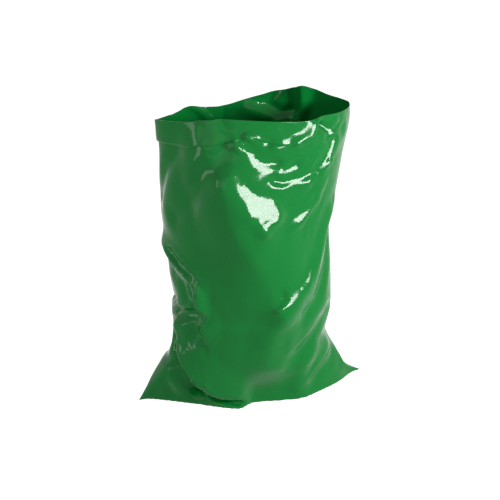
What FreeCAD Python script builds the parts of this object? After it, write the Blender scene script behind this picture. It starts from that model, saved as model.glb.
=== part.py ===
import FreeCAD, Part
import math
import os

# An open refuse sack of plastic film standing on its own bottom weld, in mm.
# X runs along the weld from the left ear to the right ear, -Y is the front, +Z is up,
# and the middle of the weld, on the floor, is the origin.
# The way round the film is given in degrees: 0 at the left edge, 90 in front, 180 right, 270 behind.

# The flat sack
FLAT_WIDTH = 700.0       # lay-flat width, half of the way round the film tube
WALL = 1.0               # drawn wall, far thicker than the real film
CUFF = 62.0              # depth of the turned-out mouth at the front left
CUFF_GAP = 3.0           # air between the cuff and the body under it, near the rim
CUFF_FLARE = 4.0         # how much further the cuff's hem stands off
EAR_GAP = 2.0            # air between the two films of an ear

# Half of the flat width is where each ear ends, and sides and depths are parts of it
EAR = FLAT_WIDTH / 2
ROUND = FLAT_WIDTH * 2
DEGREE = ROUND / 360

# How far the left and right sides stand out at each height (height, part of EAR)
LEFT_SIDE = [(0, -1), (50, -0.903), (108, -0.789), (124, -0.737), (168, -0.694), (217, -0.66),
             (262, -0.68), (285, -0.643), (350, -0.683), (420, -0.709), (490, -0.731), (610, -0.763),
             (770, -0.769), (880, -0.803)]
RIGHT_SIDE = [(0, 1), (39, 0.834), (88, 0.754), (139, 0.674), (185, 0.623), (258, 0.66), (380, 0.654),
              (510, 0.637), (603, 0.689), (716, 0.757), (813, 0.823), (880, 0.811)]
# How far the front and back stand out at each height (height, part of EAR)
FRONT_SIDE = [(0, -0.371), (90, -0.48), (200, -0.55), (400, -0.58), (650, -0.531), (880, -0.475)]
BACK_SIDE = [(0, 0.543), (90, 0.571), (200, 0.59), (400, 0.59), (650, 0.531), (880, 0.475)]
# How full the plan of the sack is at each height: 0.5 is an oval, 1 a pointed lens
FULLNESS = [(0, 0.95), (60, 0.75), (130, 0.58), (200, 0.5), (600, 0.5), (760, 0.6), (880, 0.74)]
# Edge of the film on the floor in front, and how far it reaches behind (parts of EAR)
FRONT_FOOT = [(-1, 0), (-0.891, -0.017), (-0.569, -0.211), (-0.251, -0.403), (-0.103, -0.337),
              (0.123, -0.363), (0.331, -0.374), (0.52, -0.291), (0.723, -0.18), (0.909, -0.034), (1, 0)]
BACK_REACH = 0.543
# Height of the mouth round the sack (degrees, height)
MOUTH = [(0, 838), (14, 840), (30, 844), (42, 850), (52, 858), (64, 864), (78, 859), (92, 851), (110, 842),
         (124, 847), (143, 844), (165, 843), (180, 848), (206, 856), (222, 872), (228, 883), (234, 873),
         (257, 847), (268, 833), (279, 817), (284, 824), (294, 829), (305, 838), (312, 829), (324, 825),
         (340, 829)]
# Depth of the turned-out cuff round the sack (degrees, part of CUFF)
TURNED = [(0, 1), (64, 1), (75, 0.72), (87, 0.95), (105, 0.98), (116, 0.6), (126, 0.3), (134, 0),
          (319, 0), (332, 0.7), (345, 1)]

# Folds in the film: half width to the left and right of the run, height of the ridge (minus is a valley),
# places (degrees, height, part of the ridge's height), and how far the film sags there
FOLDS = {
    "crease beside the cuff": ((20, 20), -7, [(61, 862), (63, 790), (60, 740)]),
    "band under the cuff": ((40, 40), -9, [(62, 790), (55, 736), (48, 676), (38, 624), (20, 580)]),
    "second band under the cuff": ((34, 34), -6, [(33, 790), (10, 700), (-6, 616)]),
    "front ridge": ((150, 110), 34, [(60, 880, 0.5), (60, 800, 0.7), (62, 700, 1), (70, 560, 1),
        (82, 450, 0.8), (93, 312, 0.4)]),
    "low front ridge": ((90, 60), 20, [(93, 312), (87, 220), (88, 152), (103, 64)]),
    "left shoulder fold": ((44, 14), 13, [(-4, 474), (24, 420), (33, 396), (38, 310), (41, 236)]),
    "left shoulder valley": ((16, 34), -12, [(-6, 420), (18, 380), (27, 320), (31, 240)]),
    "left waist": ((16, 30), -11, [(-14, 296), (10, 288), (28, 300)]),
    "deep ear fold": ((12, 36), -34, [(4, 220), (9, 160), (20, 124), (34, 84), (42, 50)]),
    "belly over the ear fold": ((80, 15), 24, [(10, 262, 0.7), (17, 190), (30, 140), (44, 90), (53, 62)], 15),
    "toe crease": ((16, 14), -24, [(42, 50), (54, 28), (70, 12)]),
    "ear crease": ((14, 20), -7, [(16, 100), (28, 74), (38, 48)]),
    "right waist crease": ((30, 24), -12, [(148, 262), (136, 240), (125, 190), (108, 144)]),
    "right ear ridge": ((26, 26), 9, [(131, 178), (121, 116), (120, 44)]),
    "right ear valley": ((24, 24), -8, [(165, 96), (143, 66), (134, 24)]),
    "right ear second ridge": ((20, 20), 6, [(154, 140), (139, 104), (129, 60)]),
    "right long ridge": ((60, 34), 10, [(147, 560), (136, 470), (123, 400), (112, 366), (94, 312)]),
    "right long valley": ((34, 50), -10, [(156, 500), (142, 400), (130, 330), (112, 290)]),
    "outer swag": ((28, 40), 11, [(62, 808, 1.4), (67, 772, 1.3), (73, 740, 1.15), (81, 708, 0.8),
        (88, 678, 0.7)]),
    "outer swag right": ((22, 40), 9, [(90, 684, 0.8), (100, 672, 0.85), (114, 666, 0.95),
        (122, 688, 1.05), (131, 714, 1.25), (136, 752, 1.35), (139, 796, 1.2)]),
    "inner swag": ((13, 34), 3.4, [(71, 832, 2.2), (80, 808, 1.6), (89, 790, 1.1), (101, 784, 0.9),
        (107, 804, 0.9), (114, 826, 0.8), (120, 838, 0.8), (132, 838, 0.7), (146, 838, 0.5)]),
    "corner dent": ((20, 30), -8, [(123, 832), (131, 806), (144, 800)]),
    "low swag": ((72, 120), 24, [(57, 748, 0.8), (61, 705, 1.1), (69, 650, 1.15), (78, 600, 1.05),
        (87, 560, 0.9), (99, 544, 0.2)]),
    "right short ridge": ((14, 30), 5, [(129, 650), (123, 615), (111, 560)]),
    "back pleat": ((14, 18), -22, [(229, 890), (229, 830), (230, 760)]),
    "back left flap crease": ((14, 20), -10, [(308, 836), (298, 800), (290, 750)]),
    "back upper valley": ((26, 26), -16, [(262, 806), (246, 780), (239, 720)]),
    "back long fold": ((50, 50), 16, [(221, 240), (239, 360), (247, 520), (260, 640)]),
    "back long valley": ((44, 44), -14, [(234, 200), (252, 330), (262, 470)]),
    "back left fold": ((40, 40), 14, [(332, 220), (316, 330), (306, 470), (303, 620)]),
    "back left valley": ((36, 36), -14, [(321, 190), (303, 300), (293, 420)]),
    "back right ear fold": ((28, 28), -14, [(195, 150), (211, 110), (226, 40)]),
    "back left ear fold": ((28, 28), -15, [(345, 160), (329, 110), (316, 40)]),
    "back low ridge": ((40, 40), 12, [(257, 60), (270, 150), (267, 240)]),
}
# The back left of the mouth stands inside the rest by a step: place, half width, step, and where it starts
STEP = (281, 11, 14, 640, 800)

# Grid lines
NEAR_EDGE = [4, 16, 34]
FIRST_LINE = 56.0
SIDE_LINES = 25
FLOOR_ROWS = [0.0, 0.4, 0.8]
LOW_ROWS = [0, 7, 16, 27, 40, 56, 75, 97]
UPPER_ROWS = 31
RIM_FOLD = 4.0
CUFF_ROWS = 4
CUFF_LEAST = 25.0        # a shallower turn of the rim is left out


def through(stations, at):
    """Smooth curve through the stations, flat beyond its ends."""
    if at <= stations[0][0]:
        return float(stations[0][1])
    if at >= stations[-1][0]:
        return float(stations[-1][1])
    i = max(k for k in range(len(stations) - 1) if stations[k][0] <= at)

    def slope(k):
        lo = stations[max(k - 1, 0)]
        hi = stations[min(k + 1, len(stations) - 1)]
        return (hi[1] - lo[1]) / (hi[0] - lo[0])

    (x0, y0), (x1, y1) = stations[i], stations[i + 1]
    h = x1 - x0
    t = (at - x0) / h
    return ((1 + 2 * t) * (1 - t) ** 2 * y0 + t * (1 - t) ** 2 * h * slope(i)
            + t * t * (3 - 2 * t) * y1 - t * t * (1 - t) * h * slope(i + 1))


def around(stations, turn):
    """The same curve on the closed way round the film."""
    first = [(stations[-1][0] - 360, stations[-1][1])]
    last = [(s + 360, v) for s, v in stations[:2]]
    return through(first + stations + last, turn % 360)


def ease(t):
    """0 to 1 with a soft start and end."""
    t = min(max(t, 0.0), 1.0)
    return t * t * (3 - 2 * t)


def flat_place(turn):
    """-1 at the left edge of the flat sack, +1 at its right edge."""
    return 1 - abs(turn % 360 / 90 - 2)


def foot(x, front):
    """Where the film leaves the floor."""
    if front:
        return EAR * through(FRONT_FOOT, x / EAR)
    return EAR * BACK_REACH * max(1 - (x / EAR) ** 2, 0) ** 1.5


def outward(turn, z):
    """Level direction out of the film, across the ear low down."""
    nx = -math.cos(math.radians(turn)) * ease(z / 120)
    ny = -math.sin(math.radians(turn))
    size = math.hypot(nx, ny)
    return (nx / size, ny / size) if size > 0.02 else (-math.cos(math.radians(turn)), 0.0)


def fold_height(turn, z):
    """Sum of the ridges and valleys at a place of the film, and of their sag."""
    push = 0.0
    drop = 0.0
    for (left, right), height, places, *sag in FOLDS.values():
        near = 1e9
        half = 1.0
        part = 1.0
        for (a0, z0, *h0), (a1, z1, *h1) in zip(places, places[1:]):
            along = (a1 - a0) * DEGREE
            up = z1 - z0
            du = ((turn - a0 + 180) % 360 - 180) * DEGREE
            dz = z - z0
            share = min(max((du * along + dz * up) / (along ** 2 + up ** 2), 0.0), 1.0)
            far = math.hypot(du - share * along, dz - share * up)
            if far < near:
                near = far
                half = left if along * dz - up * du > 0 else right
                low = h0[0] if h0 else 1.0
                high = h1[0] if h1 else 1.0
                part = low + share * (high - low)
        s = 1 - (math.hypot(near, 2.5) - 2.5) / half
        if s > -1:
            tent = (s + math.hypot(s, 0.12)) / 2 - 0.004
            push += height * tent * part
            drop += (sag[0] if sag else 0.0) * tent * part
    return push, drop


def body(turn, z):
    """Middle of the film at a place round the sack and a height."""
    a = math.radians(turn)
    front = math.sin(a) > 0
    free = ease(z / 170)
    place = (1 - free) * flat_place(turn) - free * math.cos(a)
    left = EAR * through(LEFT_SIDE, z)
    right = EAR * through(RIGHT_SIDE, z)
    x = (left + right) / 2 + place * (right - left) / 2
    reach = EAR * through(FRONT_SIDE if front else BACK_SIDE, z)
    y = reach * max(1 - place * place, 0) ** through(FULLNESS, z)
    y += (foot(x, front) - y) * (1 - ease(z / 150))
    edge = min(turn % 180, 180 - turn % 180) * DEGREE
    y += (-1 if front else 1) * (EAR_GAP + WALL) / 2 * min(edge / 4, 1.0) * (1 - free)
    loose = free + (1 - free) * ease((edge - 20) / 60)
    push, drop = fold_height(turn, z)
    push = push * loose * ease(z / 34)
    drop = drop * loose * ease(z / 60)
    middle_turn, half, step, low, full = STEP
    s = (turn - middle_turn) * DEGREE / half
    push -= step * s / math.sqrt(1 + s * s) * math.exp(-(s / 4) ** 2) * ease((z - low) / (full - low))
    nx, ny = outward(turn, z)
    return x + nx * push, y + ny * push, max(z - drop, WALL / 2)


def column(turn):
    """Middle of the film from the weld to the hem, one place a row."""
    weld_x = EAR * flat_place(turn)
    edge_x, edge_y, _ = body(turn, 0)
    places = [(weld_x + (edge_x - weld_x) * t, edge_y * t, WALL / 2) for t in FLOOR_ROWS]
    rim = around(MOUTH, turn)
    top = LOW_ROWS[-1]
    steps = [top + (rim - RIM_FOLD - top) * k / UPPER_ROWS for k in range(1, UPPER_ROWS + 1)]
    places += [body(turn, z) for z in LOW_ROWS + steps]
    nx, ny = outward(turn, rim)
    depth = CUFF * around(TURNED, turn)
    turned = depth > CUFF_LEAST
    out = CUFF_GAP + WALL if turned else 0.0
    x, y, z = body(turn, rim)
    places.append((x + nx * out / 2, y + ny * out / 2, z))
    for down, flare in ((RIM_FOLD, 0.0), (depth * 0.4, 0.7), (depth * 0.7, 1.0), (depth, 1.0)):
        x, y, z = body(turn, rim - down)
        off = out + CUFF_FLARE * flare
        places.append((x + nx * off, y + ny * off, z))
    return places, turned


# The sack itself
half_round = [0] + NEAR_EDGE
spacing = (FLAT_WIDTH - 2 * FIRST_LINE) / (SIDE_LINES - 1)
half_round += [FIRST_LINE + spacing * k for k in range(SIDE_LINES)]
half_round += [FLAT_WIDTH - u for u in reversed(NEAR_EDGE)]
lines = half_round + [FLAT_WIDTH] + [ROUND - u for u in reversed(half_round[1:])]
count = len(lines)
middle = count // 2
foot_row = len(FLOOR_ROWS)
top_row = foot_row + len(LOW_ROWS) + UPPER_ROWS
last_row = top_row + CUFF_ROWS
columns = [column(u / DEGREE) for u in lines]


def place_name(i, j):
    """One name for each separate place of the grid."""
    i = i % count
    if i in (0, middle) and j <= foot_row:
        return i, 0
    if j == 0:
        return min(i, count - i), 0
    if j > top_row and not columns[i][1]:
        return i, top_row
    return i, j


spots = {}
for i in range(count):
    for j in range(last_row + 1):
        spots.setdefault(place_name(i, j), FreeCAD.Vector(*columns[i][0][j]))

film = []
for i in range(count):
    for j in range(last_row):
        a = place_name(i, j)
        b = place_name(i + 1, j)
        c = place_name(i + 1, j + 1)
        d = place_name(i, j + 1)
        if spots[a].distanceToPoint(spots[c]) < spots[b].distanceToPoint(spots[d]):
            pair = [(a, b, c), (a, c, d)]
        else:
            pair = [(a, b, d), (b, c, d)]
        film += [t for t in pair if len(set(t)) == 3]

lean = {name: FreeCAD.Vector() for name in spots}
for a, b, c in film:
    face_lean = (spots[b] - spots[a]).cross(spots[c] - spots[a])
    for name in (a, b, c):
        lean[name] = lean[name] + face_lean

outside = {}
inside = {}
for name, spot in spots.items():
    i, j = name
    n = lean[name].normalize()
    low = 1 - ease(spot.z / 170)
    pull = 0.5 + low if i in (0, middle) else 0.5
    outside[name] = spot + n * WALL * 0.5
    inside[name] = spot - n * WALL * pull
    if j <= foot_row:
        outside[name].z = 0
        inside[name].z = WALL
    if i in (0, middle) and j == 0:
        side = -1 if i == 0 else 1
        outside[name] = FreeCAD.Vector(side * EAR, 0, 0)
        inside[name] = FreeCAD.Vector(side * (EAR - 3 * WALL), 0, WALL)

triangles = [[outside[n] for n in t] for t in film]
triangles += [[inside[n] for n in reversed(t)] for t in film]
for i in range(count):
    a = place_name(i, last_row)
    b = place_name(i + 1, last_row)
    triangles.append([outside[a], outside[b], inside[b]])
    triangles.append([outside[a], inside[b], inside[a]])

faces = [Part.Face(Part.makePolygon(t + t[:1])) for t in triangles]
shell = Part.makeShell(faces)
shell.sewShape()
sack = Part.makeSolid(shell)
if sack.Volume < 0:
    sack.reverse()

os.makedirs("parts", exist_ok=True)
sack.exportStep("parts/sack.step")
print("triangles", len(triangles), "valid", sack.isValid(), "closed", shell.isClosed())
print("volume cm3", round(sack.Volume / 1000, 1), "box", sack.BoundBox)
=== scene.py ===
# %% [markdown]
# An open refuse sack of glossy green polythene. A real one is blown as a seamless tube of film,
# about 0.06 mm thick and 1400 mm round, cut at 1100 mm and welded flat across the bottom.
# Opened and stood on the floor, the weld makes two pointed ears, and the top is turned out into a cuff.
# The imported model is loaded first.

# %%
import math
import bpy
import numpy as np
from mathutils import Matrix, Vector


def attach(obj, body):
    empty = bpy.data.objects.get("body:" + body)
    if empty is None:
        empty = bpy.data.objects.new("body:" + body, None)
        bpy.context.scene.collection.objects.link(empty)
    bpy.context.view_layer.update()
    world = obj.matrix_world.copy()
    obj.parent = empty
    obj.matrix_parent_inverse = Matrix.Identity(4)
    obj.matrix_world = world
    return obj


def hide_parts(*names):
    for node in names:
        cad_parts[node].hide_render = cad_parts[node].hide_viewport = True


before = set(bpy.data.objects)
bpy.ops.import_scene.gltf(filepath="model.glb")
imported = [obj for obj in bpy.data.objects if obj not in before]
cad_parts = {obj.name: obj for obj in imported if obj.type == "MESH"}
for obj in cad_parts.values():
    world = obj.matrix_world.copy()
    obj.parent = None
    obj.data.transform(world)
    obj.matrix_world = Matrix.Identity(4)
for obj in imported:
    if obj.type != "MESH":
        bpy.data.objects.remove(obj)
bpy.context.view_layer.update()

# %% [markdown]
# The camera stands where the photograph was taken: a little to the left of the sack's front,
# looking down at 20 degrees from three and a half metres.

# %%
CAMERA_AIM = Vector((-0.0144, -0.0205, 0.440))
CAMERA_DISTANCE = 3.45
CAMERA_ROUND = math.radians(-17.407)
CAMERA_ABOVE = math.radians(20)
LENS_MM, SENSOR_MM = 86.3, 36

level = math.cos(CAMERA_ABOVE)
back = Vector((math.sin(CAMERA_ROUND) * level, -math.cos(CAMERA_ROUND) * level, math.sin(CAMERA_ABOVE)))
lens = bpy.data.cameras.new("camera")
lens.sensor_width = SENSOR_MM
lens.lens = LENS_MM
camera = bpy.data.objects.new("camera", lens)
camera.location = CAMERA_AIM + back * CAMERA_DISTANCE
camera.rotation_mode = "QUATERNION"
camera.rotation_quaternion = (-back).to_track_quat("-Z", "Y")
bpy.context.collection.objects.link(camera)
bpy.context.scene.camera = camera
print("camera at", [round(v, 2) for v in camera.location])

# %% [markdown]
# The form that the standing sack takes, in millimetres. Sides, front and back are given as parts of
# the half lay-flat width at a few heights, and the way round the film runs in degrees from the left edge,
# through the front at 90, the right edge at 180 and the back at 270. TURNED says how much of the cuff's
# depth hangs outside at each place: all of it round the left edge, and none behind and at the right.
# Low down the film comes up from the outline on the floor within FLOOR_TO_WALL, and its section changes
# from the straight weld to the oval within WELD_TO_OVAL. FULLNESS is the power of the oval: 0.5 is round.

# %%
FLAT_WIDTH = 700.0
CUFF = 62.0
EAR = FLAT_WIDTH / 2
ROUND = FLAT_WIDTH * 2
MM_A_DEGREE = ROUND / 360
BACK_REACH = 0.543
WELD_TO_OVAL, FLOOR_TO_WALL = 170, 150
WELD_OPENS = 6
FULLNESS = [(0, 0.95), (60, 0.75), (130, 0.58), (200, 0.5), (600, 0.5), (760, 0.6), (880, 0.74)]
LEFT_SIDE = [(0, -1), (50, -0.903), (108, -0.789), (124, -0.737), (168, -0.694), (217, -0.66),
             (262, -0.68), (285, -0.643), (350, -0.683), (420, -0.709), (490, -0.731), (610, -0.763),
             (770, -0.769), (880, -0.803)]
RIGHT_SIDE = [(0, 1), (39, 0.834), (88, 0.754), (139, 0.674), (185, 0.623), (258, 0.66), (380, 0.654),
              (510, 0.637), (603, 0.689), (716, 0.757), (813, 0.823), (880, 0.811)]
FRONT_SIDE = [(0, -0.371), (90, -0.48), (200, -0.55), (400, -0.58), (650, -0.531), (880, -0.475)]
BACK_SIDE = [(0, 0.543), (90, 0.571), (200, 0.59), (400, 0.59), (650, 0.531), (880, 0.475)]
FRONT_FOOT = [(-1, 0), (-0.891, -0.017), (-0.569, -0.211), (-0.251, -0.403), (-0.103, -0.337),
              (0.123, -0.363), (0.331, -0.374), (0.52, -0.291), (0.723, -0.18), (0.909, -0.034), (1, 0)]
MOUTH = [(0, 838), (14, 840), (30, 844), (42, 850), (52, 858), (64, 864), (78, 859), (92, 851), (110, 842),
         (124, 847), (143, 844), (165, 843), (180, 848), (206, 856), (222, 872), (228, 883), (234, 873),
         (257, 847), (268, 833), (279, 817), (284, 824), (294, 829), (305, 838), (312, 829), (324, 825),
         (340, 829)]
TURNED = [(0, 1), (64, 1), (75, 0.72), (87, 0.95), (105, 0.98), (116, 0.6), (126, 0.3), (134, 0),
          (319, 0), (332, 0.7), (345, 1)]


def through(stations, at):
    """Smooth curve y(x) through the stations, in cubic pieces that take their slopes from the chord
    between the neighbours."""
    x, y = np.array(stations, float).T
    at = np.clip(at, x[0], x[-1])
    k = np.arange(len(x))
    lo, hi = np.maximum(k - 1, 0), np.minimum(k + 1, len(x) - 1)
    slope = (y[hi] - y[lo]) / (x[hi] - x[lo])
    i = np.clip(np.searchsorted(x, at, side="right") - 1, 0, len(x) - 2)
    h = x[i + 1] - x[i]
    t = (at - x[i]) / h
    return ((1 + 2 * t) * (1 - t) ** 2 * y[i] + t * (1 - t) ** 2 * h * slope[i]
            + t * t * (3 - 2 * t) * y[i + 1] - t * t * (1 - t) * h * slope[i + 1])


def around(stations, turn):
    """The same curve on the closed way round, turn in degrees."""
    first = [(stations[-1][0] - 360, stations[-1][1])]
    last = [(s + 360, v) for s, v in stations[:2]]
    return through(first + stations + last, np.mod(turn, 360))


def ease(t):
    """0 to 1 with a soft start and end: t*t*(3-2t)."""
    t = np.clip(t, 0, 1)
    return t * t * (3 - 2 * t)


def flat_place(turn):
    """-1 at the left edge of the flat sack, +1 at its right edge, in even steps both ways."""
    return 1 - np.abs(np.mod(turn, 360) / 90 - 2)


def standing_form(turn, z):
    """Plan section at height z: x between the two sides, by even steps on the floor and by cosine above,
    y = reach * (1 - place^2)^power, and the floor outline low down."""
    a = np.radians(turn)
    front = np.sin(a) > 0
    free = ease(z / WELD_TO_OVAL)
    place = (1 - free) * flat_place(turn) - free * np.cos(a)
    left, right = EAR * through(LEFT_SIDE, z), EAR * through(RIGHT_SIDE, z)
    x = (left + right) / 2 + place * (right - left) / 2
    power = through(FULLNESS, z)
    reach = EAR * np.where(front, through(FRONT_SIDE, z), through(BACK_SIDE, z))
    y = reach * np.clip(1 - place ** 2, 0, 1) ** power
    behind = BACK_REACH * EAR * np.clip(1 - (x / EAR) ** 2, 0, 1) ** 1.5
    foot = np.where(front, EAR * through(FRONT_FOOT, x / EAR), behind)
    edge = ROUND / 4 * np.abs(np.abs(np.mod(turn, 180) / 90 - 1) - 1)
    y = y + (foot - y) * (1 - ease(z / FLOOR_TO_WALL))
    y = y + np.where(front, -1, 1) * np.minimum(edge / WELD_OPENS, 1) * (1 - free)
    return x, y, edge


def out_of_film(turn, z):
    """Level direction out of the film: round the sack above, straight across the ears low down."""
    a = np.radians(turn)
    round_above, least = 120, 0.02
    nx, ny = -np.cos(a) * ease(z / round_above), -np.sin(a)
    size = np.hypot(nx, ny)
    clear, size = size > least, np.maximum(size, least)
    return np.where(clear, nx / size, -np.cos(a)), np.where(clear, ny / size, 0)


print("mouth", round(float(around(MOUTH, 90))), "to", round(float(around(MOUTH, 228))), "mm high")

# %% [markdown]
# Folds. A real sack keeps creases from being rolled flat, and buckles where it is bent over its ears.
# Each is a ridge (or a valley, minus) along a line on the film: half width to the left and to the right of
# its run, height, places (degrees, mm up, share of the height), and how far it sags.

# %%
FOLDS = {
    "crease beside the cuff": ((20, 20), -7, [(61, 862), (63, 790), (60, 740)]),
    "band under the cuff": ((40, 40), -13, [(64, 812, 0), (60, 770, 0.8), (55, 736), (48, 676),
        (38, 624), (20, 580)]),
    "second band under the cuff": ((34, 34), -10, [(38, 815, 0), (28, 765, 0.8), (10, 700), (-6, 616)]),
    "front ridge": ((150, 110), 34, [(60, 880, 0.5), (60, 800, 0.7), (62, 700, 1), (70, 560, 1),
        (82, 450, 0.8), (93, 312, 0.4)]),
    "low front ridge": ((90, 60), 20, [(93, 312), (87, 220, 0.8), (88, 152, 0.4), (103, 64, 0)]),
    "left shoulder fold": ((44, 14), 13, [(-4, 474), (24, 420), (33, 396), (38, 310), (41, 236)]),
    "left shoulder valley": ((16, 34), -12, [(-6, 420), (18, 380), (27, 320), (31, 240)]),
    "left short ridge": ((14, 20), 6, [(28, 372), (24, 316), (30, 280)]),
    "left waist": ((16, 30), -11, [(-14, 296), (10, 288), (28, 300)]),
    "deep ear fold": ((12, 36), -34, [(4, 220), (9, 160), (20, 124), (34, 84), (42, 50)]),
    "belly over the ear fold": ((80, 15), 24, [(10, 262, 0.7), (17, 190), (30, 140), (44, 90),
        (53, 62)], 15),
    "toe crease": ((16, 14), -24, [(42, 50), (54, 28), (70, 12)]),
    "ear crease": ((14, 20), -7, [(16, 100), (28, 74), (38, 48)]),
    "ear edge crease": ((12, 16), -6, [(8, 84), (22, 28)]),
    "right waist crease": ((40, 34), -9, [(148, 262), (136, 240), (125, 190), (108, 144)]),
    "right ear ridge": ((34, 34), 6, [(131, 178), (121, 116), (120, 44)]),
    "right ear valley": ((32, 32), -6, [(165, 96), (143, 66), (134, 24)]),
    "right ear second ridge": ((26, 26), 4, [(154, 140), (139, 104), (129, 60)]),
    "right long ridge": ((60, 34), 10, [(147, 560), (136, 470), (123, 400), (112, 366), (94, 312)]),
    "right long valley": ((34, 50), -10, [(156, 500), (142, 400), (130, 330), (112, 290)]),
    "outer swag": ((12, 90), 3.6, [(67, 812, 2.2), (71, 786, 2), (75.5, 755, 1.7), (80, 736, 1.3),
        (84.5, 715, 0.7)]),
    "outer swag right": ((12, 60), 3.2, [(88, 694, 0), (94, 684, 1), (101, 677, 1.15),
        (113, 669, 1.2), (118, 673, 1.2), (124, 690, 1.35), (130, 708, 1.6), (133, 730, 1.8),
        (135.5, 756, 2), (138, 792, 2.1)]),
    "inner swag": ((8, 34), 2.4, [(92, 789, 0.8), (101, 790, 0.9), (107, 804, 0.9), (114, 826, 1),
        (120, 838, 1), (132, 838, 1), (146, 838, 0.7)]),
    "corner dent": ((20, 30), -8, [(123, 832), (131, 806), (144, 800)]),
    "corner ridge": ((14, 20), 6, [(112, 800), (124, 800), (134, 824)]),
    "low swag": ((72, 120), 24, [(57, 748, 0.8), (61, 705, 1.1), (69, 650, 1.15), (78, 600, 1.05),
        (87, 560, 0.9), (99, 544, 0.2)]),
    "right short ridge": ((14, 30), 5, [(129, 650), (123, 615), (111, 560)]),
    "back pleat": ((14, 18), -22, [(229, 890), (229, 830), (230, 760)]),
    "back left flap crease": ((8, 22), -9, [(304, 838), (300, 830), (295, 814), (290, 786)]),
    "back upper valley": ((26, 26), -16, [(262, 806), (246, 780), (239, 720)]),
    "back crumple": ((20, 16), 12, [(246, 860), (252, 824), (244, 796), (236, 804)]),
    "back long fold": ((50, 50), 16, [(221, 240), (239, 360), (247, 520), (260, 640)]),
    "back long valley": ((44, 44), -14, [(234, 200), (252, 330), (262, 470)]),
    "back left fold": ((40, 40), 14, [(332, 220), (316, 330), (306, 470), (303, 620)]),
    "back left valley": ((36, 36), -14, [(321, 190), (303, 300), (293, 420)]),
    "back right ear fold": ((28, 28), -14, [(195, 150), (211, 110), (226, 40)]),
    "back left ear fold": ((28, 28), -15, [(345, 160), (329, 110), (316, 40)]),
    "back low ridge": ((40, 40), 12, [(257, 60), (270, 150), (267, 240)]),
}

TOP_ROUND = 2.5
FOOT_ROUND, FOOT_REST = 0.12, 0.004


def with_share(place):
    """A place of a fold with its share of the height, which is 1 where none is given."""
    return place if len(place) == 3 else (*place, 1)


def beside_run(turn, z, start, end):
    """On the flat film, in mm: distance from the straight run between two places, the share of the run that
    is passed there, and the side, plus to the left of the run."""
    (a0, z0), (a1, z1) = start, end
    along, up = (a1 - a0) * MM_A_DEGREE, z1 - z0
    du, dz = (turn - a0) * MM_A_DEGREE, z - z0
    share = np.clip((du * along + dz * up) / (along ** 2 + up ** 2), 0, 1)
    return np.hypot(du - share * along, dz - share * up), share, along * dz - up * du


def fold_height(turn, z):
    """Sum over the folds of height * tent(distance to its line / half width on that side), a straight-sided
    ridge with a rounded top and foot, and how far each drops."""
    push, drop = np.zeros(turn.shape), np.zeros(turn.shape)
    for (left, right), height, places, *sag in FOLDS.values():
        near, half, part = np.full(turn.shape, 1e9), np.full(turn.shape, 1.0), np.ones(turn.shape)
        first = places[0][0]
        here = first + np.mod(turn - first + 180, 360) - 180
        for (*start, h0), (*end, h1) in zip(*(map(with_share, run) for run in (places, places[1:]))):
            far, share, side = beside_run(here, z, start, end)
            closer = far < near
            near = np.where(closer, far, near)
            half = np.where(closer, np.where(side > 0, left, right), half)
            part = np.where(closer, h0 + share * (h1 - h0), part)
        s = 1 - (np.hypot(near, TOP_ROUND) - TOP_ROUND) / half
        g = np.where(s < -1, 0, (s + np.hypot(s, FOOT_ROUND)) / 2 - FOOT_REST) * part
        push += height * g
        drop += (sag[0] if sag else 0) * g
    return push, drop


print(len(FOLDS), "folds, the highest", max(fold[1] for fold in FOLDS.values()), "mm")

# %% [markdown]
# Flats. Between its folds the stiff film pulls flat, and such a flat catches the light as a whole.
# Each has the way that it faces (degrees to the right of the front, degrees up), how far it fades out
# beyond its outline in mm, and the outline (degrees, mm up). The outlines were traced on the lit patches
# of the photograph and worked out as places on the film. Most flats face half way between the camera and
# the lamp that lights them, because that is the tilt at which they shine: their real tilt isn't known.

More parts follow.
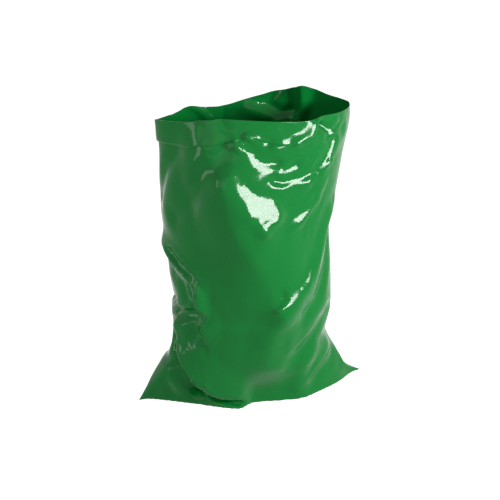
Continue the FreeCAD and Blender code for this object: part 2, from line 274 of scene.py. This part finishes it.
# %%
FLATS = {
    "below the swag": ((15, 18.1), 14, [(67, 722), (73, 695), (80, 667), (88.5, 646), (93.5, 628),
        (96, 603), (94, 588), (89, 577), (86.5, 558), (83, 577), (82, 598), (78, 609), (74.5, 639),
        (70.5, 681)]),
    "swag's corner": ((14.7, 15.1), 9, [(68, 807), (70.5, 792), (73.5, 780), (78, 766), (82.5, 755),
        (94, 742), (92, 734), (90, 727), (90, 715), (91.5, 696), (89, 709), (85.5, 727), (82, 746),
        (77.5, 764), (72, 784), (68, 798)]),
    "corner's branch": ((13.3, 16), 8, [(91, 701), (94.5, 719), (100, 727), (106, 731), (106.5, 721),
        (101, 717), (96, 708), (92, 692)]),
    "swag's low line": ((12.7, 16.6), 9, [(90.5, 699), (101, 689), (112.5, 680), (118, 689),
        (119, 682), (114, 670), (101, 680), (90.5, 689)]),
    "upper edge, left": ((14.4, 13.8), 8, [(74, 825), (80, 819), (85.5, 805), (91, 790), (89.5, 785),
        (84, 795), (78.5, 807), (74, 814)]),
    "upper edge, middle": ((13.3, 14.3), 8, [(89, 791), (95, 788), (101, 789), (102.5, 780),
        (95.5, 779), (89, 784)]),
    "swag's right rise": ((11, 15.9), 9, [(120, 701), (125.5, 713), (130.5, 729), (133, 721),
        (128, 703), (122, 690)]),
    "upper edge, right": ((11.9, 13.7), 8, [(102, 790), (107, 806), (112, 820), (117, 841),
        (119.5, 838), (115, 814), (109, 799), (103.5, 781)]),
    "shoulder glint": ((10.5, 13.8), 8, [(119.5, 833), (130, 806), (136, 795), (131, 791), (126, 779),
        (128, 798)]),
    "left glint": ((-49, 21), 9, [(5.5, 472), (10, 476), (31, 429), (38, 403), (39.5, 370),
        (39.5, 322), (35.5, 315), (36, 363), (34.5, 389), (27.5, 418)]),
    "right glint": ((12.1, 18.7), 7, [(123, 625), (125.5, 620), (112, 564), (109, 566)]),
    "right crease": ((13.4, 20), 10, [(128, 450), (130.5, 447), (122, 413), (116.5, 384), (107, 379),
        (121, 419)]),
    "low right line": ((14.5, 21.5), 8, [(106.5, 381), (107.5, 378), (92, 334), (90.5, 334)]),
}
FLAT_REACH = 12
LEAST_FACING = 0.2


def inside_outline(turn, z, outline):
    """Distance in mm from the outline, plus inside and minus outside, in the plane of the flat film."""
    near, inside = np.full(turn.shape, 1e9), np.zeros(turn.shape, bool)
    for start, end in zip(outline, outline[1:] + outline[:1]):
        far, _, side = beside_run(turn, z, start, end)
        near = np.minimum(near, far)
        crosses = (start[1] > z) != (end[1] > z)
        inside ^= crosses & ((side > 0) == (end[1] > start[1]))
    return np.where(inside, near, -near)


def pull_flat(turn, z, place, nx, ny):
    """Each flat moves the film level, along its outward way, onto a plane through its middle:
    step = (middle - place) . facing / (outward . facing), faded out over the edge."""
    for (right, up), soft, outline in FLATS.values():
        right, up = math.radians(right), math.radians(up)
        facing = np.array([math.sin(right) * math.cos(up), -math.cos(right) * math.cos(up), math.sin(up)])
        a0, z0 = np.mean(outline, 0)
        far = ((turn - a0) * MM_A_DEGREE) ** 2 + (z - z0) ** 2
        middle = place[np.unravel_index(np.argmin(far), far.shape)]
        step = ((middle - place) @ facing) / np.maximum(nx * facing[0] + ny * facing[1], LEAST_FACING)
        step = np.clip(step, -FLAT_REACH, FLAT_REACH) * ease(1 + inside_outline(turn, z, outline) / soft)
        place = place + np.stack([nx * step, ny * step, 0 * step], -1)
    return place


print(len(FLATS), "flats")

# %% [markdown]
# At the back left the mouth is lapped: the film doubles over itself in one pleat that
# starts three quarters up.
# Elsewhere the film has spare length, from being rolled and handled, and buckles there by itself. Each
# place has degrees and mm up, how far it reaches both ways, and the spare share up and round.

# %%
PLEAT = dict(turn=281, half=11, overlap=34, apart=14, low=640, full=800)
BASE_SPARE = 0.0006
SPARE = [
    (-2, 215, 22, 110, 0.015, 0.01),
    (-26, 200, 22, 110, 0.02, 0.012),
    (170, 200, 22, 90, 0.015, 0.01),
    (122, 760, 24, 50, 0.012, 0.012),
    (150, 430, 18, 110, 0.008, 0.006),
    (236, 740, 30, 80, 0.015, 0.015),
    (300, 720, 18, 90, 0.012, 0.012),
    (262, 260, 50, 160, 0.012, 0.01),
]


def spare_film(turn, z):
    """Base share plus, for each place, share * exp(-(round / reach)^2 - (up / reach)^2)."""
    up, round_way = np.full(turn.shape, BASE_SPARE), np.full(turn.shape, BASE_SPARE)
    for a0, z0, reach_a, reach_z, share_up, share_round in SPARE:
        g = np.exp(-((np.mod(turn - a0 + 180, 360) - 180) / reach_a) ** 2 - ((z - z0) / reach_z) ** 2)
        up, round_way = up + share_up * g, round_way + share_round * g
    return up, round_way


print(len(SPARE), "places with spare film, at most", max(place[4] for place in SPARE), "of the length")

# %% [markdown]
# The goal for the film: the standing form with its folds, flats and pleat, cut into a grid whose columns
# run from the weld across the floor and up to the rim. Low down the folds fade out near the ears' edges
# (none within HELD_BY_WELD, whole LOOSE_AFTER further in) and towards the floor, so that front and back
# still meet.

# %%
FLOOR_SAMPLES = 80
HELD_BY_WELD, LOOSE_AFTER = 20, 60
PUSH_FADE, PUSH_START, DROP_FADE = 24, 4, 60


def lapped(turn, z, x, y, nx, ny):
    """The pleat, with s = way from its line / half width: the film slides along itself by
    overlap * s * exp(-s^2 / 2) and sinks behind by apart * s / sqrt(1 + s^2) * exp(-(s / 4)^2)."""
    s = (turn - PLEAT["turn"]) * MM_A_DEGREE / PLEAT["half"]
    fade = ease((z - PLEAT["low"]) / (PLEAT["full"] - PLEAT["low"]))
    slide = -PLEAT["overlap"] * s * np.exp(-s ** 2 / 2) * fade
    sink = PLEAT["apart"] * s / np.sqrt(1 + s ** 2) * np.exp(-(s / 4) ** 2) * fade
    a = np.radians(turn)
    return x + slide * np.sin(a) - nx * sink, y - slide * np.cos(a) - ny * sink


def film_grid(columns, rows, samples=500):
    """Columns run from the weld across the floor and up to the rim, each cut in equal lengths.
    Gives points [column, row] and the length of each column."""
    turn = np.arange(columns) * 360.0 / columns
    edge_x, edge_y, _ = standing_form(turn, 0 * turn)
    share = np.linspace(0, 1, FLOOR_SAMPLES)[None, :-1]
    floor = np.stack([edge_x[:, None] + 0 * share, edge_y[:, None] * share, 0 * edge_x[:, None] * share], -1)
    z = np.linspace(0, 1, samples)[None] * around(MOUTH, turn)[:, None]
    wide = np.repeat(turn[:, None], samples, 1)
    x, y, edge = standing_form(wide, z)
    free = ease(z / WELD_TO_OVAL)
    nx, ny = out_of_film(wide, z)
    x, y = lapped(wide, z, x, y, nx, ny)
    loose = free + (1 - free) * ease((edge - HELD_BY_WELD) / LOOSE_AFTER)
    push, drop = fold_height(wide, z)
    push, drop = push * loose * ease((z + PUSH_START) / PUSH_FADE), drop * loose * ease(z / DROP_FADE)
    wall = pull_flat(wide, z, np.stack([x + nx * push, y + ny * push, z - drop], -1), nx, ny)
    path = np.concatenate([floor, wall], 1)
    steps = np.linalg.norm(np.diff(path, axis=1), axis=-1)
    run = np.concatenate([np.zeros((columns, 1)), np.cumsum(steps, 1)], 1)
    want = run[:, -1:] * np.linspace(0, 1, rows + 1)[None]
    k = np.clip((run[:, None, :] <= want[:, :, None]).sum(-1) - 1, 0, run.shape[1] - 2)
    r0, r1 = np.take_along_axis(run, k, 1), np.take_along_axis(run, k + 1, 1)
    t = ((want - r0) / np.maximum(r1 - r0, 1e-9))[..., None]
    p0, p1 = (np.take_along_axis(path, (k + s)[..., None], 1) for s in (0, 1))
    return p0 + t * (p1 - p0), run[:, -1]


runs = film_grid(60, 45)[1]
print("film runs", round(runs.min()), "to", round(runs.max()), "mm from weld to rim")

# %% [markdown]
# The film itself. Thin film hardly stretches but bends freely, so spare length turns into creases.
# The sheet is settled from a coarse grid to a fine one: every link goes back to its length with the spare,
# bending is smoothed, and the broad form is held. Each grid has columns, rows, steps and the window that
# blurs the hold, in cells.

# %%
GRIDS = ((120, 89, 150, 3), (240, 174, 150, 5))
START_NOISE = 0.15
BEND, HOLD = 0.0015, 0.08
FLOOR_GAP = 0.4


def blurred(d, r):
    """Mean over a window of 2r+1 cells each way, twice, closed round the sack."""
    for _ in range(2):
        wrapped = np.concatenate([d[-r:], d, d[:r]], 0)
        total = np.cumsum(np.concatenate([0 * wrapped[:1], wrapped], 0), 0)
        d = (total[2 * r + 1:] - total[:-2 * r - 1]) / (2 * r + 1)
        held = np.concatenate([np.repeat(d[:, :1], r, 1), d, np.repeat(d[:, -1:], r, 1)], 1)
        total = np.cumsum(np.concatenate([0 * held[:, :1], held], 1), 1)
        d = (total[:, 2 * r + 1:] - total[:, :-2 * r - 1]) / (2 * r + 1)
    return d


def finer(p, columns, rows):
    """The same sheet on a finer grid, by cubic curves through its points."""
    def cubic(a, b, c, d, t):
        return b + 0.5 * t * (c - a + t * (2 * a - 5 * b + 4 * c - d + t * (3 * (b - c) + d - a)))
    n, m = p.shape[:2]
    at = np.arange(columns) * n / columns
    i = np.floor(at).astype(int)
    p = cubic(*(p[np.mod(i + k, n)] for k in (-1, 0, 1, 2)), (at - i)[:, None, None])
    p = np.concatenate([2 * p[:, :1] - p[:, 1:2], p, 2 * p[:, -1:] - p[:, -2:-1]], 1)
    at = np.linspace(0, m - 1, rows)
    j = np.minimum(np.floor(at).astype(int), m - 2)
    return cubic(*(p[:, j + k] for k in (0, 1, 2, 3)), (at - j)[None, :, None])


def pull_links(p, q, length, share):
    """Move both ends of the links p-q along the link towards its length; gives the step of p."""
    d = q - p
    now = np.sqrt((d * d).sum(-1))
    return d * ((now - length) / np.maximum(now, 1e-6) * share)[..., None]


def settle(p, goal, along, up, across, steps, window):
    """Position based film: links up, round and across the cells, bending as a fourth difference,
    and the blurred distance to the standing form as the hold. An end of a straight link takes half of its
    error, and an end of a diagonal one a quarter."""
    m = p.shape[1]
    for step in range(steps):
        for c in (0, 1):
            k = (m - c) // 2
            move = pull_links(p[:, c:c + 2 * k:2], p[:, c + 1:c + 1 + 2 * k:2], up[:, c:c + 2 * k:2], 0.5)
            p[:, c:c + 2 * k:2] += move
            p[:, c + 1:c + 1 + 2 * k:2] -= move
        for c in (0, 1):
            move = pull_links(p[c::2], np.roll(p, -1, 0)[c::2], along[c::2], 0.5)
            p[c::2] += move
            p[np.mod(np.arange(c, p.shape[0], 2) + 1, p.shape[0])] -= move
        for c in (0, 1):
            k = (m - c) // 2
            low, high = slice(c, c + 2 * k, 2), slice(c + 1, c + 1 + 2 * k, 2)
            right = np.roll(p, -1, 0)
            move = pull_links(p[:, low], right[:, high], across[0][:, low], 0.25)
            p[:, low] += move
            p[:, high] -= np.roll(move, 1, 0)
            right = np.roll(p, -1, 0)
            move = pull_links(right[:, low], p[:, high], across[1][:, low], 0.25)
            p[:, low] += np.roll(move, 1, 0)
            p[:, high] -= move
        curve = np.roll(p, 1, 0) + np.roll(p, -1, 0) - 2 * p
        curve[:, 1:-1] += p[:, 2:] + p[:, :-2] - 2 * p[:, 1:-1]
        curve[:, 0] = 0
        fourth = np.roll(curve, 1, 0) + np.roll(curve, -1, 0) - 2 * curve
        fourth[:, 1:-1] += curve[:, 2:] + curve[:, :-2] - 2 * curve[:, 1:-1]
        fourth[:, 0] = 0
        hem = np.roll(p[:, -1], 1, 0) + np.roll(p[:, -1], -1, 0) - 2 * p[:, -1]
        fourth[:, -1] = 4 * (np.roll(hem, 1, 0) + np.roll(hem, -1, 0) - 2 * hem)
        p -= BEND * fourth
        if step % 2 == 0:
            p += HOLD * blurred(goal - p, window)
        p[:, 0] = goal[:, 0]
        p[..., 2] = np.maximum(p[..., 2], FLOOR_GAP)
    return p


film = None
rng = np.random.default_rng(3)
for columns, rows, steps, window in GRIDS:
    goal, run = film_grid(columns, rows)
    turn = np.arange(columns) * 360.0 / columns
    spare_up, spare_round = spare_film(np.repeat(turn[:, None], rows + 1, 1), goal[..., 2])
    beside = np.roll(goal, -1, 0)
    up = np.linalg.norm(np.diff(goal, axis=1), axis=-1) * (1 + spare_up[:, 1:])
    along = np.linalg.norm(beside - goal, axis=-1) * (1 + spare_round)
    both = 1 + (spare_up[:, 1:] + spare_round[:, 1:]) / 2
    diagonals = (beside[:, 1:] - goal[:, :-1], goal[:, 1:] - beside[:, :-1])
    across = [np.linalg.norm(d, axis=-1) * both for d in diagonals]
    film = goal.copy() if film is None else finer(film, columns, rows + 1)
    film = settle(film + rng.normal(0, START_NOISE, film.shape), goal, along, up, across, steps, window)
    off = float(np.sqrt(((film - goal) ** 2).sum(-1).mean()))
    print("film", film.shape[:2], "from the form", round(off, 1), "mm")

# %% [markdown]
# The turned-out cuff. At the mouth the film rolls over and hangs down outside, a few millimetres off the
# sack; behind and at the right it is only the cut hem. It follows the settled film at a small gap, and in
# front it is pressed against the sack between PRESSED_FROM and PRESSED_TO.

# %%
HANG_ROWS, FIRST_ROW = 11, 0.12
HEM_LEAST = 2.5
ROLL_RADIUS = 1.8
STAND_OFF = 2.5
PRESSED_FROM, PRESSED_TO = 48, 200
PRESS_IN, PRESS_OUT = 14, 30


def leaning(p):
    """Unit directions out of the film, from the cross product of the grid's two ways."""
    round_way = np.roll(p, -1, 0) - np.roll(p, 1, 0)
    up_way = np.gradient(p, axis=1)
    n = np.cross(round_way, up_way)
    return n / np.maximum(np.linalg.norm(n, axis=-1, keepdims=True), 1e-9)


def turned_cuff(p):
    """A half circle over the rim, then rows down outside: point(d) = film(d below the rim) + gap * normal.
    The first row is close under the roll, so that the shading turns at the rim. Further down the cuff
    follows a smoother film, and stands off more, than just below the rim."""
    columns = p.shape[0]
    turn = np.arange(columns) * 360.0 / columns
    depth = np.maximum(CUFF * around(TURNED, turn), HEM_LEAST)
    n = leaning(blurred(p, 2))[:, -1]
    n[:, 2] = 0
    n /= np.linalg.norm(n, axis=-1, keepdims=True)
    pressed = ease((turn - PRESSED_FROM) / PRESS_IN) * ease((PRESSED_TO - turn) / PRESS_OUT)
    radius = (np.minimum(ROLL_RADIUS, depth / 4) * (1 - 0.75 * pressed))[:, None]
    stand = (STAND_OFF * (1 - pressed))[:, None]
    rim = p[:, -1]
    over = [rim + n * radius * (1 - math.cos(a)) + radius * math.sin(a) * np.array([0, 0, 1.0])
            for a in (math.pi * step / 5 for step in (1, 2, 3, 4, 5))]
    smooth = blurred(p, 3)
    cell = np.linalg.norm(np.diff(p, axis=1), axis=-1).mean()
    hang = []
    for k in (FIRST_ROW, *range(1, HANG_ROWS)):
        down = depth * k / (HANG_ROWS - 1)
        at = np.clip(p.shape[1] - 1 - down / cell, 0, p.shape[1] - 1.001)
        j = np.floor(at).astype(int)
        t = (at - j)[:, None]
        i = np.arange(columns)
        near = p[i, j] * (1 - t) + p[i, j + 1] * t
        far = smooth[i, j] * (1 - t) + smooth[i, j + 1] * t
        mix = 0.6 * ease(down / 40)[:, None] * (1 - pressed[:, None])
        hang.append(near * (1 - mix) + far * mix + n * (2 * radius + stand * ease(down / 50)[:, None]))
    return np.stack(over + hang, 1)


beside_rim = film[:, -1:] + 0.2 * (film[:, -2:-1] - film[:, -1:])
sheet = np.concatenate([film[:, :-1], beside_rim, film[:, -1:], turned_cuff(film)], 1)
print("sheet", sheet.shape[:2], "mouth at", round(float(sheet[..., 2].max())), "mm")

# %% [markdown]
# The sheet gets its two faces, the hem's edge between them and the weld where front and back meet.
# Real film is a tenth as thick; this wall keeps the two faces clearly apart.

# %%
WALL = 0.6
MM_IN_METRE = 1000


def film_shell(name, sheet, wall):
    """Outer and inner faces half a wall each side of the sheet, joined at the hem; the weld row is shared
    by the column i in front and the column n - i behind."""
    n, m = sheet.shape[:2]
    lean = leaning(sheet)
    lean[:, 0] = (0, 0, -1)
    skins = [sheet + lean * wall / 2, sheet - lean * wall / 2]
    for skin, z in zip(skins, (0.0, wall)):
        skin[:, 0, 2] = z
        skin[:, 0, :2] = sheet[:, 0, :2]
        skin[..., 2] = np.maximum(skin[..., 2], z)
    index = np.arange(n * m).reshape(n, m)
    index[n // 2 + 1:, 0] = index[1:n // 2, 0][::-1]
    a, b = index, np.roll(index, -1, 0)
    quads = np.stack([a[:, :-1], b[:, :-1], b[:, 1:], a[:, 1:]], -1).reshape(-1, 4)
    hem = np.stack([a[:, -1], b[:, -1], b[:, -1] + n * m, a[:, -1] + n * m], -1)
    faces = np.concatenate([quads, quads[:, ::-1] + n * m, hem])
    points = np.concatenate([s.reshape(-1, 3) for s in skins]) / MM_IN_METRE
    used = np.zeros(len(points), bool)
    used[faces.ravel()] = True
    new = np.cumsum(used) - 1
    points, faces = points[used], new[faces]
    mesh = bpy.data.meshes.new(name)
    mesh.vertices.add(len(points))
    mesh.vertices.foreach_set("co", points.ravel())
    mesh.loops.add(faces.size)
    mesh.loops.foreach_set("vertex_index", faces.ravel())
    mesh.polygons.add(len(faces))
    mesh.polygons.foreach_set("loop_start", np.arange(len(faces)) * 4)
    mesh.update(calc_edges=True)
    mesh.shade_smooth()
    piece = bpy.data.objects.new(name, mesh)
    bpy.context.collection.objects.link(piece)
    return piece


sack = film_shell("green_sack", sheet, WALL)
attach(sack, "root")
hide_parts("sack")
print("sack faces", len(sack.data.polygons))

# %% [markdown]
# Blown polythene: an even green pigment, glossy, with a faint haze from the blowing and very fine ripples
# that soften the reflections. FILM_IOR is chosen for the look and is lower than the real 1.5, with which
# the all-white surroundings lay a pale veil over the green.

# %%
DEEP_GREEN, FULL_GREEN = (0.003, 0.19, 0.03, 1), (0.005, 0.222, 0.037, 1)
FILM_IOR = 1.24
GLOSS = (0.08, 0.13)
SLOW_GRAIN, FINE_GRAIN, RIPPLE_GRAIN = (7, 3), (35, 4), (60, 3)
RIPPLE_SHARE, RIPPLE_METRES = 0.25, 0.001


def polythene():
    """Green gloss: slow noise in the colour, finer noise in the roughness, the finest in the bump."""
    m = bpy.data.materials.new("green_polythene")
    m.use_nodes = True
    nodes, links = m.node_tree.nodes, m.node_tree.links
    shader = nodes["Principled BSDF"]
    shader.inputs["IOR"].default_value = FILM_IOR
    place = nodes.new("ShaderNodeTexCoord")

    def noise(scale, detail):
        n = nodes.new("ShaderNodeTexNoise")
        n.inputs["Scale"].default_value = scale
        n.inputs["Detail"].default_value = detail
        links.new(place.outputs["Object"], n.inputs["Vector"])
        return n.outputs["Fac"]

    def spread(value, low, high):
        r = nodes.new("ShaderNodeMapRange")
        r.inputs["To Min"].default_value = low
        r.inputs["To Max"].default_value = high
        links.new(value, r.inputs["Value"])
        return r.outputs["Result"]

    tint = nodes.new("ShaderNodeMix")
    tint.data_type = "RGBA"
    tint.inputs["A"].default_value = DEEP_GREEN
    tint.inputs["B"].default_value = FULL_GREEN
    links.new(noise(*SLOW_GRAIN), tint.inputs["Factor"])
    links.new(tint.outputs["Result"], shader.inputs["Base Color"])
    links.new(spread(noise(*FINE_GRAIN), *GLOSS), shader.inputs["Roughness"])
    bump = nodes.new("ShaderNodeBump")
    bump.inputs["Strength"].default_value = RIPPLE_SHARE
    bump.inputs["Distance"].default_value = RIPPLE_METRES
    links.new(noise(*RIPPLE_GRAIN), bump.inputs["Height"])
    links.new(bump.outputs["Normal"], shader.inputs["Normal"])
    return m


sack.data.materials.append(polythene())
print("material", sack.data.materials[0].name)

# %% [markdown]
# A plain pale floor and studio light. The key is a small softbox at the right front, a little above the
# mouth: its mirror image makes the sharp bright patches on the upper right. A wide dim fill stands at the
# left front, and a narrow upright one at the left draws the lines at the waist. Floor and world show white
# to the camera and in reflections, and light the sack only weakly. In reflections the floor is one even
# white, and to the camera it keeps the sack's shadow.

# %%
LAMPS = {
    "key": dict(at=(1.8, -1.95, 1.2), to=(0.05, -0.1, 0.6), size=(0.72, 0.5), watts=64),
    "fill": dict(at=(-1.9, -2.6, 1.8), to=(0, 0, 0.4), size=(3.6, 1.8), watts=17),
    "left": dict(at=(-2.5, -0.45, 1.1), to=(0, 0, 0.5), size=(0.6, 1.5), watts=14),
}
WORLD_LIGHT = 0.12
FLOOR_HALF = 30
FLOOR_PALE = 0.8
FLOOR_GLOW = 0.95


def white_to_camera(tree, shown, lit):
    """Mix two shaders by Light Path: white where the camera, gloss or glass sees it, plain for the light."""
    path = tree.nodes.new("ShaderNodeLightPath")
    camera_or_gloss = tree.nodes.new("ShaderNodeMath")
    camera_or_gloss.operation = "MAXIMUM"
    any_view = tree.nodes.new("ShaderNodeMath")
    any_view.operation = "MAXIMUM"
    tree.links.new(path.outputs["Is Camera Ray"], camera_or_gloss.inputs[0])
    tree.links.new(path.outputs["Is Glossy Ray"], camera_or_gloss.inputs[1])
    tree.links.new(camera_or_gloss.outputs[0], any_view.inputs[0])
    tree.links.new(path.outputs["Is Transmission Ray"], any_view.inputs[1])
    mix = tree.nodes.new("ShaderNodeMixShader")
    tree.links.new(any_view.outputs[0], mix.inputs[0])
    tree.links.new(lit, mix.inputs[1])
    tree.links.new(shown, mix.inputs[2])
    return mix.outputs[0]


def softbox(name, at, to, size, watts):
    """A rectangular lamp at one point, turned to another."""
    lamp = bpy.data.lights.new(name, "AREA")
    lamp.shape = "RECTANGLE"
    lamp.size, lamp.size_y = size
    lamp.energy = watts
    o = bpy.data.objects.new(name, lamp)
    o.location = at
    o.rotation_mode = "QUATERNION"
    o.rotation_quaternion = (Vector(to) - Vector(at)).to_track_quat("-Z", "Y")
    bpy.context.collection.objects.link(o)


def studio_world():
    """A weak even light from all round, which shows as white."""
    world = bpy.data.worlds.new("studio")
    world.use_nodes = True
    tree = world.node_tree
    plain = tree.nodes["Background"]
    plain.inputs["Color"].default_value = (1, 1, 1, 1)
    plain.inputs["Strength"].default_value = WORLD_LIGHT
    white = tree.nodes.new("ShaderNodeBackground")
    white.inputs["Color"].default_value = (1, 1, 1, 1)
    white.inputs["Strength"].default_value = 1
    surroundings = white_to_camera(tree, white.outputs[0], plain.outputs[0])
    tree.links.new(surroundings, tree.nodes["World Output"].inputs[0])
    return world


def pale_floor():
    """Matt and nearly white; lifted by a glow to the camera, and an even white in reflections."""
    pale = bpy.data.materials.new("pale_floor")
    pale.use_nodes = True
    tree = pale.node_tree
    matt = tree.nodes["Principled BSDF"]
    matt.inputs["Base Color"].default_value = (FLOOR_PALE, FLOOR_PALE, FLOOR_PALE, 1)
    matt.inputs["Roughness"].default_value = 0.9
    matt.inputs["Specular IOR Level"].default_value = 0.1
    glow = tree.nodes.new("ShaderNodeEmission")
    glow.inputs["Strength"].default_value = FLOOR_GLOW
    lifted = tree.nodes.new("ShaderNodeAddShader")
    tree.links.new(matt.outputs[0], lifted.inputs[0])
    tree.links.new(glow.outputs[0], lifted.inputs[1])
    mirrored = tree.nodes.new("ShaderNodeEmission")
    seen = tree.nodes.new("ShaderNodeMixShader")
    camera_ray = tree.nodes.new("ShaderNodeLightPath")
    tree.links.new(camera_ray.outputs["Is Camera Ray"], seen.inputs[0])
    tree.links.new(mirrored.outputs[0], seen.inputs[1])
    tree.links.new(lifted.outputs[0], seen.inputs[2])
    surface = white_to_camera(tree, seen.outputs[0], matt.outputs[0])
    tree.links.new(surface, tree.nodes["Material Output"].inputs[0])
    return pale


bpy.context.scene.world = studio_world()
ground = bpy.data.meshes.new("floor")
corners = [(FLOOR_HALF * x, FLOOR_HALF * y, 0) for x, y in ((-1, -1), (1, -1), (1, 1), (-1, 1))]
ground.from_pydata(corners, [], [(0, 1, 2, 3)])
ground.materials.append(pale_floor())
floor = bpy.data.objects.new("floor", ground)
bpy.context.collection.objects.link(floor)
for name, lamp in LAMPS.items():
    softbox(name, **lamp)
bpy.context.scene.view_settings.view_transform = "Standard"
